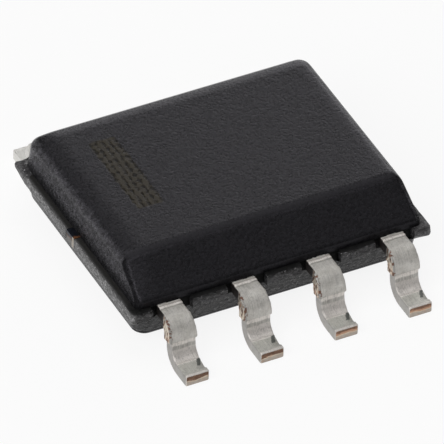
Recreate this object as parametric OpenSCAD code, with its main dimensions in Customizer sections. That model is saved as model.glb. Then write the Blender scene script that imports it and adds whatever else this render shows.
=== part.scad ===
// Switching regulator in an 8-lead narrow small-outline package, millimetres.
// X runs along the lead rows, the front row is at -Y, Z is up from the board.

/* [Molded body] */
// Length of the body along the lead rows, at the parting planes
body_length = 4.88; // [4.7:0.01:5.1]
// Width of the body across the lead rows, at the parting planes
body_width = 3.92; // [3.7:0.01:4.1]
// Height of the top face above the board
body_top = 1.40; // [1.35:0.01:1.75]
// Height of the underside above the board
standoff = 0.21; // [0.1:0.01:0.25]
// Draft of the walls, degrees from vertical
draft_angle = 7; // [3:0.5:10]
// Radius of the upright corners
corner_r = 0.22; // [0.08:0.01:0.3]
// Radius of the edges round the top face
top_edge_r = 0.15; // [0.05:0.01:0.2]
// Radius of the edges round the underside
bottom_edge_r = 0.12; // [0.05:0.01:0.2]

/* [Front bevel] */
// How far the bevel reaches in from the front wall
bevel_depth = 0.64; // [0.3:0.01:0.7]
// How far the bevel reaches down from the top face
bevel_drop = 0.455; // [0.25:0.005:0.5]
// Radius of the long edge between the top face and the bevel
bevel_edge_r = 0.30; // [0.1:0.01:0.4]

/* [Flash] */
// How far the flash stands out from the short sides
flash_end = 0.125; // [0.03:0.005:0.15]
// How far the flash stands out from the long sides, between the leads
flash_side = 0.11; // [0.03:0.005:0.15]
// Radius of the flash's corners
flash_corner_r = 0.06; // [0.02:0.01:0.1]
// Gap between the edge of a lead and the flash beside it
flash_gap = 0.13; // [0.02:0.01:0.18]
// Gap between the edge of a tie bar and the flash beside it
tie_bar_gap = 0.04; // [0.02:0.01:0.15]

/* [Leads] */
// Distance between neighbouring leads of a row
lead_pitch = 1.27; // [1.2:0.01:1.3]
// Distance from the toes of one row to the toes of the other
lead_span = 6.0; // [5.8:0.01:6.2]
// Width of a lead
lead_width = 0.41; // [0.33:0.01:0.51]
// Thickness of the leadframe
lead_thick = 0.19; // [0.17:0.01:0.25]
// Height of the leads' upper face where they leave the body
lead_plane = 0.825; // [0.75:0.005:0.95]
// Length of the flat shelf between the body and the knee
shelf_length = 0.26; // [0.15:0.01:0.3]
// Inside radius of the knee
knee_r = 0.09; // [0.05:0.01:0.12]
// Inside radius of the heel
heel_r = 0.17; // [0.08:0.01:0.2]
// Tilt of the leg, degrees from upright
leg_tilt = 6; // [2:0.5:12]
// How far the stub of the cut dam bar stands out from the lead's edge
dam_bar_stub = 0.025; // [0.01:0.005:0.06]
// Length of the dam bar's stub down the leg
dam_bar_length = 0.08; // [0.04:0.01:0.12]
// How far the stub's faces lie below the lead's own faces
dam_bar_relief = 0.015; // [0.005:0.005:0.03]

/* [Inner fingers] */
// Width of a finger past its shoulders
finger_width = 0.60; // [0.5:0.01:0.7]
// Length of the narrow neck from the body's wall to the shoulders
neck_length = 0.22; // [0.1:0.01:0.3]
// Length over which the neck widens to the finger
shoulder_length = 0.10; // [0.05:0.01:0.2]
// Gap between the paddle and the tips of the middle fingers
finger_gap = 0.20; // [0.15:0.01:0.25]
// Distance from the body's centre line to the tips of the corner fingers
corner_tip = 0.55; // [0.45:0.01:0.7]

/* [Die paddle] */
// Length of the paddle along the lead rows
paddle_length = 2.4; // [2.2:0.01:2.6]
// Width of the paddle across the lead rows
paddle_width = 1.9; // [1.7:0.01:2.0]
// How far the paddle sits below the leads
paddle_drop = 0.15; // [0.05:0.01:0.2]
// Width of a tie bar
tie_bar_width = 0.25; // [0.15:0.01:0.3]
// Distance of the tie bars behind the body's centre line
tie_bar_offset = 0.10; // [0:0.01:0.15]
// Level stretch of a tie bar beside the paddle, before it climbs
tie_bar_run = 0.12; // [0.05:0.01:0.2]
// How far the cut end of a tie bar stands out from the body's short side
tie_bar_stub = 0.11; // [0.02:0.01:0.12]

/* [Chip] */
// Length of the chip along the lead rows
die_length = 1.9; // [1.6:0.01:2.0]
// Width of the chip across the lead rows
die_width = 1.5; // [1.3:0.01:1.6]
// Thickness of the chip
die_thick = 0.25; // [0.15:0.01:0.28]
// Thickness of the adhesive under the chip
attach_thick = 0.025; // [0.015:0.005:0.04]
// How far the adhesive spreads past the chip
attach_margin = 0.05; // [0.02:0.01:0.08]

/* [Bond wires] */
// Diameter of a wire, across its corners
wire_d = 0.05; // [0.03:0.005:0.06]
// Diameter of the squashed ball on the chip
ball_d = 0.11; // [0.08:0.01:0.14]
// Height of the squashed ball
ball_h = 0.03; // [0.02:0.005:0.04]
// Diameter of the stitch on the finger
stitch_d = 0.10; // [0.08:0.01:0.14]
// Height of the stitch
stitch_h = 0.02; // [0.015:0.005:0.03]
// Height of the loop above the chip
loop_height = 0.14; // [0.1:0.01:0.18]
// Distance of the balls from the chip's edge
pad_inset = 0.12; // [0.08:0.01:0.2]
// Distance of a corner lead's ball from the chip's long centre line
corner_pad = 0.42; // [0.3:0.01:0.5]
// Distance of a middle lead's ball from the chip's short centre line
middle_pad = 0.40; // [0.3:0.01:0.6]
// Distance of the stitch from the finger's tip and inner edge
stitch_inset = 0.12; // [0.08:0.01:0.16]

/* [Hidden] */
ROW = 4;
LEADS = 2 * ROW;

RESIN = [0.17, 0.17, 0.18];
TIN = [0.74, 0.73, 0.70];
COPPER = [0.72, 0.45, 0.30];
ADHESIVE = [0.62, 0.62, 0.60];
SILICON = [0.36, 0.38, 0.44];
GOLD = [0.83, 0.66, 0.30];

// Leadframe levels
lead_bottom = lead_plane - lead_thick;
paddle_top = lead_plane - paddle_drop;
paddle_bottom = paddle_top - lead_thick;
die_bottom = paddle_top + attach_thick;
die_top = die_bottom + die_thick;

// Body outline
half_length = body_length / 2;
half_width = body_width / 2;
land = 0.01;
round_steps = 24;

// Bevel: its foot on the front wall, its top edge and its slope
bevel_foot_z = body_top - bevel_drop;
bevel_foot_y = half_width - (bevel_foot_z - lead_plane) * tan(draft_angle);
bevel_top_y = bevel_foot_y - bevel_depth;
bevel_slope = atan2(bevel_drop, bevel_depth);

// Lead path, seen from the side: y runs outward from the body's centre line
toe_y = lead_span / 2;
knee_y = half_width + shelf_length;
knee_z = lead_bottom - knee_r;
leg_offset = knee_r + lead_thick + heel_r;
heel_z = lead_thick + heel_r;
leg_length = (knee_z + leg_offset * sin(leg_tilt) - heel_z) / cos(leg_tilt);
heel_y = knee_y + leg_offset * cos(leg_tilt) + leg_length * sin(leg_tilt);
knee = [knee_y, knee_z];
heel = [heel_y, heel_z];
bend_steps = 12;
knee_width = lead_width + dam_bar_stub;
stub_width = lead_width + 2 * dam_bar_stub;

// Fingers
shoulder_y = half_width - neck_length;
finger_y = shoulder_y - shoulder_length;
middle_tip = paddle_width / 2 + finger_gap;

// Wires
wire_sides = 6;
wire_rings = 12;
bond_sides = 8;

// Place of lead i of a row along the row, as seen from the other row
function lead_x(i) = ((ROW - 1) / 2 - i) * lead_pitch;
function is_corner(i) = i == 0 || i == ROW - 1;
function finger_tip(i) = is_corner(i) ? corner_tip : middle_tip;

// Where lead i's wire starts on the chip and ends on the finger
function ball_place(i) =
    let (side = sign(lead_x(i)))
    is_corner(i)
        ? [side * (die_length / 2 - pad_inset), corner_pad, die_top]
        : [side * middle_pad, die_width / 2 - pad_inset, die_top];
function stitch_place(i) =
    let (side = sign(lead_x(i)), inner_edge = abs(lead_x(i)) - finger_width / 2)
    [
        is_corner(i) ? side * (inner_edge + stitch_inset) : lead_x(i),
        finger_tip(i) + stitch_inset,
        lead_plane
    ];

// Cubic curve through two end points with two pulling points, and its direction
function curve(p, t) =
    pow(1 - t, 3) * p[0] + 3 * pow(1 - t, 2) * t * p[1]
    + 3 * (1 - t) * t * t * p[2] + pow(t, 3) * p[3];
function curve_way(p, t) =
    pow(1 - t, 2) * (p[1] - p[0]) + 2 * (1 - t) * t * (p[2] - p[1]) + t * t * (p[3] - p[2]);
function unit(v) = v / norm(v);

// Turns what follows so that its x runs outward along Y, its y up and its z along X
module in_side_view() {
    rotate([90, 0, 90]) children();
}

// Sets lead n's own frame: rear leads stand as drawn, front leads are turned about Z
module at_lead(n) {
    rotate([0, 0, n <= ROW ? 180 : 0]) children();
}

// A tube of wire_sides flats along a curve in an upright plane
module wire_tube(p) {
    across = unit(cross(p[3] - p[0], [0, 0, 1]));
    rings = [
        for (k = [0 : wire_rings])
            let (t = k / wire_rings, c = curve(p, t), up = cross(across, unit(curve_way(p, t))))
            for (s = [0 : wire_sides - 1])
                let (a = 360 * s / wire_sides)
                c + wire_d / 2 * (cos(a) * across + sin(a) * up)
    ];
    last = wire_rings * wire_sides;
    walls = [
        for (k = [0 : wire_rings - 1])
            for (s = [0 : wire_sides - 1])
                let (
                    a = k * wire_sides + s,
                    b = k * wire_sides + (s + 1) % wire_sides,
                    c = b + wire_sides,
                    d = a + wire_sides
                )
                for (face = [[a, b, c], [a, c, d]]) face
    ];
    start_cap = [for (s = [wire_sides - 1 : -1 : 0]) s];
    end_cap = [for (s = [0 : wire_sides - 1]) last + s];
    polyhedron(points = rings, faces = concat(walls, [start_cap, end_cap]), convexity = 4);
}

module bond_wire_shape(n) {
    i = (n - 1) % ROW;
    ball = ball_place(i);
    stitch = stitch_place(i);
    flat = [stitch[0] - ball[0], stitch[1] - ball[1], 0];
    start = ball + [0, 0, ball_h / 2];
    end = stitch + [0, 0, wire_d / 2];
    rise = [0, 0, loop_height];
    at_lead(n) {
        translate(ball) cylinder(d = ball_d, h = ball_h, $fn = bond_sides);
        translate(stitch) cylinder(d = stitch_d, h = stitch_h, $fn = bond_sides);
        wire_tube([start, start + 1.3 * rise, start + 0.6 * flat + 1.2 * rise, end]);
    }
}

// Flat finger and neck in plan, from the tip inside the body to the body's wall
module finger_plan(tip) {
    polygon([
        [-finger_width / 2, tip],
        [finger_width / 2, tip],
        [finger_width / 2, finger_y],
        [lead_width / 2, shoulder_y],
        [lead_width / 2, half_width],
        [-lead_width / 2, half_width],
        [-lead_width / 2, shoulder_y],
        [-finger_width / 2, finger_y]
    ]);
}

// Points of an arc about c, from one angle to another
function arc(c, r, from, to) = [
    for (k = [0 : bend_steps])
        let (a = from + (to - from) * k / bend_steps)
        c + r * [cos(a), sin(a)]
];
function knee_outside() = arc(knee, knee_r + lead_thick, 90, leg_tilt);
function knee_inside() = arc(knee, knee_r, leg_tilt, 90);

// Side view of the formed strip: neck, shelf, knee, leg, heel and foot
module strip_profile() {
    polygon(concat(
        [[shoulder_y, lead_plane]],
        knee_outside(),
        arc(heel, heel_r, 180 + leg_tilt, 270),
        [[toe_y, lead_thick], [toe_y, 0]],
        arc(heel, heel_r + lead_thick, 270, 180 + leg_tilt),
        knee_inside(),
        [[shoulder_y, lead_bottom]]
    ));
}

// Side view of the knee alone, which bulges a little wider than the lead
module knee_profile() {
    polygon(concat(knee_outside(), knee_inside()));
}

// Stub of the cut dam bar, across the leg just below the knee
module dam_bar_stub_shape() {
    reach = dam_bar_length / 2;
    translate(knee) rotate([0, 0, leg_tilt])
        translate([knee_r + dam_bar_relief, -reach, -stub_width / 2])
            cube([lead_thick - 2 * dam_bar_relief, dam_bar_length, stub_width]);
}

module lead_shape(n) {
    i = (n - 1) % ROW;
    at_lead(n) translate([lead_x(i), 0, 0]) {
        translate([0, 0, lead_bottom]) linear_extrude(lead_thick) finger_plan(finger_tip(i));
        in_side_view() {
            linear_extrude(lead_width, center = true) strip_profile();
            linear_extrude(knee_width, center = true) knee_profile();
            dam_bar_stub_shape();
        }
    }
}

// Tie bar from the paddle's end up to the lead plane and out past the body's end, seen from the side
module tie_bar_profile() {
    inner = paddle_length / 2;
    foot = inner + tie_bar_run;
    head = foot + paddle_drop;
    cut = half_length + tie_bar_stub;
    polygon([
        [inner, paddle_bottom],
        [foot, paddle_bottom],
        [head, lead_bottom],
        [cut, lead_bottom],
        [cut, lead_plane],
        [head, lead_plane],
        [foot, paddle_top],
        [inner, paddle_top]
    ]);
}

module die_paddle_shape() {
    translate([-paddle_length / 2, -paddle_width / 2, paddle_bottom])
        cube([paddle_length, paddle_width, lead_thick]);
    for (end = [0, 1])
        mirror([end, 0, 0])
            translate([0, tie_bar_offset + tie_bar_width / 2, 0])
                rotate([90, 0, 0]) linear_extrude(tie_bar_width) tie_bar_profile();
}

module die_attach_shape() {
    size = [die_length + 2 * attach_margin, die_width + 2 * attach_margin, attach_thick];
    translate([-size[0] / 2, -size[1] / 2, paddle_top]) cube(size);
}

module silicon_die_shape() {
    translate([-die_length / 2, -die_width / 2, die_bottom]) cube([die_length, die_width, die_thick]);
}

// Thin upright posts that give the body its outline at one level
module corner_posts(x, y, z, sides = [-1, 1]) {
    for (sx = [-1, 1], sy = sides)
        translate([sx * (x - corner_r), sy * (y - corner_r), z])
            cylinder(r = corner_r, h = land, $fn = round_steps);
}

// Inset of a round corner's centre from the wall's foot, rise above or below that foot,
// for a corner of radius r across the wall and radius h upright
function drafted_inset(rise, r, h) = rise * tan(draft_angle) + norm([r, h * tan(draft_angle)]);

module upper_half() {
    rear_z = body_top - top_edge_r;
    front_z = body_top - bevel_edge_r;
    rear_inset = drafted_inset(rear_z - lead_plane, top_edge_r, top_edge_r);
    front_inset = drafted_inset(front_z - lead_plane, top_edge_r, bevel_edge_r);
    front_y = bevel_top_y - bevel_edge_r * tan(bevel_slope / 2);
    hull() {
        corner_posts(half_length, half_width, lead_plane);
        corner_posts(half_length - (bevel_foot_z - lead_plane) * tan(draft_angle), bevel_foot_y,
            bevel_foot_z - land, [-1]);
        for (sx = [-1, 1]) {
            translate([sx * (half_length - rear_inset), half_width - rear_inset, rear_z])
                sphere(r = top_edge_r, $fn = round_steps);
            translate([sx * (half_length - front_inset), -front_y, front_z])
                scale([top_edge_r / bevel_edge_r, 1, 1]) sphere(r = bevel_edge_r, $fn = round_steps);
        }
    }
}

module lower_half() {
    r = bottom_edge_r;
    z = standoff + r;
    inset = drafted_inset(lead_bottom - z, r, r);
    hull() {
        corner_posts(half_length, half_width, lead_bottom - land);
        for (sx = [-1, 1], sy = [-1, 1])
            translate([sx * (half_length - inset), sy * (half_width - inset), z])
                sphere(r = r, $fn = round_steps);
    }
}

module rounded_plate(x, y, r) {
    square([x, y - 2 * r], center = true);
    square([x - 2 * r, y], center = true);
    for (sx = [-1, 1], sy = [-1, 1])
        translate([sx * (x / 2 - r), sy * (y / 2 - r)]) circle(r = r, $fn = 32);
}

// Flash round the body at the leadframe's level, cut away beside each lead and tie bar
module flash_plan() {
    lead_gap = lead_width + 2 * flash_gap;
    tie_gap = tie_bar_width + 2 * tie_bar_gap;
    difference() {
        rounded_plate(body_length + 2 * flash_end, body_width + 2 * flash_side, flash_corner_r);
        for (i = [0 : ROW - 1], turn = [0, 180])
            rotate(turn) translate([lead_x(i) - lead_gap / 2, half_width]) square([lead_gap, 2 * flash_side]);
        for (end = [0, 1])
            mirror([end, 0])
                translate([half_length, tie_bar_offset - tie_gap / 2]) square([2 * flash_end, tie_gap]);
    }
}

module molded_body() {
    color(RESIN) difference() {
        union() {
            upper_half();
            translate([0, 0, lead_bottom]) linear_extrude(lead_thick) flash_plan();
            lower_half();
        }
        die_paddle_shape();
        die_attach_shape();
        silicon_die_shape();
        for (n = [1 : LEADS]) {
            lead_shape(n);
            bond_wire_shape(n);
        }
    }
}

module die_paddle() {
    color(COPPER) die_paddle_shape();
}

module die_attach() {
    color(ADHESIVE) die_attach_shape();
}

module silicon_die() {
    color(SILICON) silicon_die_shape();
}

module lead(n) {
    color(TIN) lead_shape(n);
}

module bond_wire(n) {
    color(GOLD) bond_wire_shape(n);
}

molded_body();
die_paddle();
die_attach();
silicon_die();
for (n = [1 : LEADS]) {
    lead(n);
    bond_wire(n);
}
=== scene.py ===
import math

import bpy
import numpy as np
from mathutils import Matrix, Vector, noise


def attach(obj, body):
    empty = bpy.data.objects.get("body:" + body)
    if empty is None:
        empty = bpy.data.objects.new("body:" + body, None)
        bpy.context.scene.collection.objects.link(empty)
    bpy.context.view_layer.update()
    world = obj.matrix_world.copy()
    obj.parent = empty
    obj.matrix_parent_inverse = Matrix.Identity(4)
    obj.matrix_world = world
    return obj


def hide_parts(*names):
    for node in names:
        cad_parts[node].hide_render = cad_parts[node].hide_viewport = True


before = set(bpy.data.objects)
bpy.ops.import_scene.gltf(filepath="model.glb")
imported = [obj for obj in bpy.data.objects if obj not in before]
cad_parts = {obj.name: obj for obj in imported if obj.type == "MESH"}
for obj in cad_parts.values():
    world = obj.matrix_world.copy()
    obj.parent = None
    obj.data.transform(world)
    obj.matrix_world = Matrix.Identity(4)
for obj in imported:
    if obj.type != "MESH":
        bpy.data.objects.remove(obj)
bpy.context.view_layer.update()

# Sizes in millimetres, in the part's own frame: front row at -Y, board at z = 0
MM = 0.001

# Molded body
HALF_LENGTH = 2.44
HALF_WIDTH = 1.96
BODY_TOP = 1.3985
STANDOFF = 0.21
DRAFT = math.tan(math.radians(7))
CORNER_R = 0.23
CORNER_R_FRONT = 0.10
CORNER_R_REAR = 0.17
CORNER_R_MIN = 0.05
TOP_EDGE_R = 0.15
BOTTOM_EDGE_R = 0.12
BEVEL_DEPTH = 0.64
BEVEL_DROP = 0.455
BEVEL_EDGE_R = 0.30
BEVEL_FOOT_R = 0.08

# Flash at the leadframe's level
LEAD_PLANE = 0.825
LEAD_THICK = 0.19
LEAD_BOTTOM = LEAD_PLANE - LEAD_THICK
FLASH_END = 0.125
FLASH_SIDE = 0.11
FLASH_CORNER_R = 0.06
FLASH_GAP = 0.13
FLASH_GAP_UNEVEN = 0.03
FLASH_ROUGHNESS = 0.020
NOTCH_LEFT = 0.012
TIE_BAR_Y = 0.10
TIE_BAR_WIDTH = 0.25
TIE_BAR_GAP = 0.012

# Soft edges of the top face: axis, side, how far the edge falls, from how far in, and its lean outward
SOFT_EDGES = [(0, -1, 0.044, 0.40, 0.54), (0, 1, 0.014, 0.25, 0.54), (1, 1, 0.034, 0.25, 1.15)]
SOFT_START = 0.10
SOFT_BLEND = 0.08
SOFT_FROM_Z = LEAD_PLANE + 0.1
SOFT_FULL_Z = BODY_TOP - 0.05

# Leads
ROW = 4
LEADS = 2 * ROW
LEAD_PITCH = 1.27
LEAD_HALF = 0.41 / 2
TOE_Y = 3.0
KNEE_Y = 2.22
KNEE_R = 0.09
HEEL_R = 0.17
LEG_TILT = math.radians(6)
LEAD_EDGE_R = 0.022

# Pin-1 bar on the top face: its middle, its half sizes, the pitches of its hatching
BAR_MIDDLE = (-1.44, 0.45)
BAR_HALF = (0.225, 0.86)
BAR_LINE_PITCH = 0.1035
BAR_DOT_PITCH = 0.15

# Camera, as fitted to the photograph: image points are in its 444 x 444 frame
PHOTO_SIZE = 444
CAMERA_AZIMUTH = math.radians(-28.0)
CAMERA_ELEVATION = math.radians(39.63)
CAMERA_ROLL = math.radians(2.0)
CAMERA_DISTANCE = 161.3
CAMERA_TARGET = Vector((0, 0, 0.7))
TARGET_PIXEL = (221.4, 199.1)
PIXELS_PER_MM = 65.11
SENSOR = 36.0
CLIP_START_M = 0.01
CLIP_END_M = 10

# Stage, in metres: the floor's half size, its tone and glow, the world's light
FLOOR_HALF_M = 1.5
FLOOR_TONE = 0.9
FLOOR_GLOW = 1.0
FLOOR_GLOW_SHARE = 0.88
WORLD_LEVEL = 0.08

# Lamps: name, place and size in metres, radiance
LAMPS = [
    ("back", (0.24, 0.34, 0.15), 0.22, 2.0),
    ("left", (-0.34, -0.06, 0.16), 0.24, 1.5),
    ("key", (-0.32, -0.21, 0.37), 0.46, 2.7),
    ("top", (0.05, 0.09, 0.49), 0.42, 1.35),
]


def lead_x(n):
    """Place of lead n along the rows: 1 to 4 at the front from -X, 5 to 8 at the rear from +X."""
    along = ((n - 1) % ROW - (ROW - 1) / 2) * LEAD_PITCH
    return along if n <= ROW else -along


# Curves and meshes

# Fractal noise: how fast its octaves weaken, how much finer each one is, how many there are
FRACTAL = (0.9, 2.1, 4)


def unit(v):
    """The vector at length 1."""
    return v / np.linalg.norm(v)


def smooth_step(low, high, x):
    """Rises smoothly from 0 at low to 1 at high."""
    t = np.clip((x - low) / (high - low), 0, 1)
    return t * t * (3 - 2 * t)


def plateau(x, rise, fall):
    """1 between a rise and a fall, each given by its start and end, and 0 outside them."""
    return smooth_step(*rise, x) * (1 - smooth_step(*fall, x))


def bell(x, middle, half):
    """A bell curve that is 1 at its middle."""
    return math.exp(-((x - middle) / half) ** 2)


def rough(point, scale, seed=0.0):
    """Fractal noise about zero, mostly within one of it."""
    p = Vector(point) * scale + Vector((seed, 1.7 * seed, -seed))
    return noise.fractal(p, *FRACTAL)


def fillet(corners, radii, steps):
    """Points of a polyline whose inner corners are rounded to the given radii."""
    corners = [np.array(c, float) for c in corners]
    points = [corners[0]]
    for before, corner, after, r in zip(corners, corners[1:], corners[2:], radii):
        a, b = unit(before - corner), unit(after - corner)
        half = math.acos(np.clip(a @ b, -1, 1)) / 2
        centre = corner + unit(a + b) * r / math.sin(half)
        first, last = [corner + w * r / math.tan(half) - centre for w in (a, b)]
        sweep = math.pi - 2 * half
        for k in range(steps + 1):
            t = k / steps
            arm = math.sin((1 - t) * sweep) * first + math.sin(t * sweep) * last
            points.append(centre + arm / math.sin(sweep))
    points.append(corners[-1])
    return np.array(points)


def add_mesh(name, verts, faces, face_materials, materials, sharp_degrees, strip=None):
    """A smooth mesh from points in millimetres, with edges over an angle sharp and strip as its UV map."""
    mesh = bpy.data.meshes.new(name)
    mesh.from_pydata((np.asarray(verts) * MM).tolist(), [], faces)
    for m in materials:
        mesh.materials.append(m)
    mesh.polygons.foreach_set("material_index", face_materials)
    mesh.polygons.foreach_set("use_smooth", [True] * len(faces))
    mesh.set_sharp_from_angle(angle=math.radians(sharp_degrees))
    if strip is not None:
        corners = np.empty(len(mesh.loops), int)
        mesh.loops.foreach_get("vertex_index", corners)
        mesh.uv_layers.new(name="strip").data.foreach_set("uv", np.asarray(strip)[corners].ravel())
    mesh.update()
    piece = bpy.data.objects.new(name, mesh)
    bpy.context.scene.collection.objects.link(piece)
    return piece


def loft(loops, row_materials):
    """Quads between neighbouring closed loops of equal length, with their material numbers."""
    count = len(loops[0])
    faces, materials = [], []
    for row in range(len(loops) - 1):
        a, b = row * count, (row + 1) * count
        for j in range(count):
            k = (j + 1) % count
            faces.append((a + j, a + k, b + k, b + j))
        materials += [row_materials[row]] * count
    return faces, materials


# Molded body: horizontal loops from the middle of the underside to the middle of the top face

# Points of a loop: half lengths of its straight parts, spacing, run to each corner
X_STRAIGHT = 2.29
Y_STRAIGHT = 1.70
STATION = 0.022
NOTCH_EDGE = 0.002
CORNER_STEPS = 10
RUN_OUT = (0.33, 0.67)
STRAIGHT_FIT = 0.98
STRETCH_BELOW = HALF_WIDTH - 0.2

# Levels of the walls and edges
EDGE_STEPS = 10
WALL_STEPS = 10
WALL_TOP = BODY_TOP - 0.1
LEVEL_STEP_MIN = 0.0008
LOWER_EDGE_STEPS = 8
LOWER_WALL_SHARES = np.array([[0.33], [0.67], [1.0]])

# Loops of the two flat faces, as shares of the loop round the face's edge
BOTTOM_SHARES = (0.25, 0.5, 0.75)
TOP_SHARES = (*np.linspace(0.985, 0.805, 13), 0.7, 0.5, 0.25)

# Material numbers of the body and its sharpest smooth edge in degrees
MATTE, LEDGE, FRACTURE = 0, 1, 2
BODY_SHARP = 40


def straight_stations(limit, notches):
    """Close-set places along one side of the body, with a pair at each notch's edge."""
    places = list(np.linspace(-limit, limit, round(2 * limit / STATION) + 1))
    for low, high in notches:
        places = [p for p in places if min(abs(p - low), abs(p - high)) > 3 * NOTCH_EDGE]
        places += [low - NOTCH_EDGE, low + NOTCH_EDGE, high - NOTCH_EDGE, high + NOTCH_EDGE]
    return sorted(places)


def lead_notches(front):
    """Gaps in the flash round one row's leads, wider on the right at the front."""
    reach = LEAD_HALF + FLASH_GAP
    shift = FLASH_GAP_UNEVEN if front else 0
    return [(lead_x(n) - reach + shift, lead_x(n) + reach + shift) for n in range(1, ROW + 1)]


def tie_notches():
    """The gap in the flash round a tie bar."""
    reach = TIE_BAR_WIDTH / 2 + TIE_BAR_GAP
    return [(TIE_BAR_Y - reach, TIE_BAR_Y + reach)]


LONG_PLACES = straight_stations(X_STRAIGHT, lead_notches(True) + lead_notches(False))
SHORT_PLACES = straight_stations(Y_STRAIGHT, tie_notches())


def in_notch(place, notches):
    """Whether a place lies in one of the notches."""
    return any(low < place < high for low, high in notches)


def side_places(places, limit, reach):
    """Places of one side, from -reach to reach, true to scale in the middle where they fit."""
    scale = min(1.0, STRAIGHT_FIT * reach / limit)
    middle = [p * scale for p in places]
    ends = [limit * scale + f * (reach - limit * scale) for f in RUN_OUT]
    return [-e for e in reversed(ends)] + middle + ends


def short_side_places(back, front, r):
    """Places along a short side, moved back where the bevel moves the front edge."""
    nearer = min(back, front)
    ys = side_places(SHORT_PLACES, Y_STRAIGHT, nearer - r)
    middle = (back - front) / 2
    if nearer < STRETCH_BELOW:
        stretch = ((back + front) / 2 - r) / (nearer - r)
        return [middle + y * stretch for y in ys]
    return [y + middle * abs(y) / max(ys) for y in ys]


def corner_arc(centre, r, start_degrees):
    """Points of a quarter circle, counter-clockwise."""
    angles = [math.radians(start_degrees + 90 * k / CORNER_STEPS) for k in range(CORNER_STEPS + 1)]
    return [(centre[0] + r * math.cos(a), centre[1] + r * math.sin(a)) for a in angles]


def body_outline(half_x, back, front, r, r_front):
    """Rectangle with rounded corners, counter-clockwise from its front-left corner."""
    front_xs = side_places(LONG_PLACES, X_STRAIGHT, half_x - r_front)
    back_xs = side_places(LONG_PLACES, X_STRAIGHT, half_x - r)
    ys = short_side_places(back, front, r)
    points = [(x, -front) for x in front_xs]
    points += corner_arc((half_x - r_front, -front + r_front), r_front, -90)
    points += [(half_x, y) for y in ys]
    points += corner_arc((half_x - r, back - r), r, 0)
    points += [(x, back) for x in reversed(back_xs)]
    points += corner_arc((-half_x + r, back - r), r, 90)
    points += [(-half_x, y) for y in reversed(ys)]
    points += corner_arc((-half_x + r_front, -front + r_front), r_front, 180)
    return np.array(points)


def at_height(outline, z):
    """The outline as a level loop."""
    return np.column_stack([outline, np.full(len(outline), z)])


def soften_top(loop):
    """Lets the top face fall away a little towards its left, right and rear edges."""
    share = smooth_step(SOFT_FROM_Z, SOFT_FULL_Z, loop[:, 2])
    for axis, side, drop, reach, lean in SOFT_EDGES:
        inside = (HALF_LENGTH, HALF_WIDTH)[axis] - side * loop[:, axis]
        past = inside - SOFT_START
        past = (past + np.sqrt(past ** 2 + SOFT_BLEND ** 2)) / 2
        fall = drop * share * np.clip(1 - past / reach, 0, 1) ** 2
        loop[:, 2] -= fall
        loop[:, axis] += side * lean * fall
    return loop


def upper_profiles():
    """The upper wall's profile at the sides and at the front: rows of inset and height."""
    start = (0, LEAD_PLANE)
    foot_z = BODY_TOP - BEVEL_DROP
    foot_in = (foot_z - LEAD_PLANE) * DRAFT
    side = [start, ((BODY_TOP - LEAD_PLANE) * DRAFT, BODY_TOP), (1, BODY_TOP)]
    front = [start, (foot_in, foot_z), (foot_in + BEVEL_DEPTH, BODY_TOP), (2, BODY_TOP)]
    side = fillet(side, [TOP_EDGE_R], EDGE_STEPS)
    front = fillet(front, [BEVEL_FOOT_R, BEVEL_EDGE_R], EDGE_STEPS)
    return side[:-1], front[:-1]


def upper_loops():
    """Loops up the drafted walls, over the edges to the flat top, the front ones over the bevel."""
    side, front = upper_profiles()
    wall = np.linspace(LEAD_PLANE, WALL_TOP, WALL_STEPS)
    heights = np.unique(np.concatenate([side[:, 1], front[:, 1], wall]))
    keep = np.concatenate([[True], np.diff(heights) > LEVEL_STEP_MIN])
    loops = []
    for z in heights[keep]:
        side_in = np.interp(z, side[:, 1], side[:, 0])
        front_in = np.interp(z, front[:, 1], front[:, 0])
        rounded_in = side_in - (z - LEAD_PLANE) * DRAFT
        r = max(CORNER_R_REAR - rounded_in, CORNER_R_MIN)
        r_front = max(CORNER_R_FRONT - rounded_in, CORNER_R_MIN)
        back = HALF_WIDTH - side_in
        outline = body_outline(HALF_LENGTH - side_in, back, HALF_WIDTH - front_in, r, r_front)
        loops.append(at_height(outline, z))
    return loops


def lower_loops():
    """Loops from the flat underside up the lower walls to the flash."""
    bottom_in = (LEAD_BOTTOM - STANDOFF) * DRAFT
    corners = [(1, STANDOFF), (bottom_in, STANDOFF), (0, LEAD_BOTTOM)]
    wall = fillet(corners, [BOTTOM_EDGE_R], LOWER_EDGE_STEPS)[1:]
    wall = np.vstack([wall[:-1], wall[-2] + (wall[-1] - wall[-2]) * LOWER_WALL_SHARES])
    loops = []
    for inset, z in wall:
        r = max(CORNER_R - (inset - (LEAD_BOTTOM - z) * DRAFT), CORNER_R_MIN)
        outline = body_outline(HALF_LENGTH - inset, HALF_WIDTH - inset, HALF_WIDTH - inset, r, r)
        loops.append(at_height(outline, z))
    return loops


# Rows of the flash from its underside up: height as a share of the leadframe's thickness, reach as a
# share of the flash's width
FLASH_ROWS = [
    (0.0, 0.55), (0.0, 0.86), (0.06, 0.97), (0.2, 1.0), (0.35, 1.0), (0.5, 1.0),
    (0.65, 1.0), (0.8, 1.0), (0.93, 0.98), (1.0, 0.88), (1.0, 0.55),
]
ON_SIDE = 1e-6

# Places where the lower edge of the flash is broken away: x, y, reach and how far it is gone
FLASH_CHIPS = [(2.25, -2.07, 0.20, 0.10), (-2.56, 2.02, 0.20, 0.10), (-2.56, 1.02, 0.10, 0.03)]

# Rear left corner, where the upper face is broken away: from this place on, this wide, deep and uneven
BROKEN_FROM = 1.63
BROKEN_WIDE = 0.12
BROKEN_DROP = 0.035
BROKEN_UNEVEN = 0.4

# Front right corner, where the upper face is scuffed: how far in from the body's end and front
SCUFFED_END = 0.19
SCUFFED_FRONT = 0.20

# Wear of the rim: noise scales per millimetre, share of it that goes up and down
RIM_SCALE = 14
RIM_FINE_SCALE = 45
RIM_LIFT_SCALE = 22
BREAK_SCALE = 12
RIM_LIFT = 0.3

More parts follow.
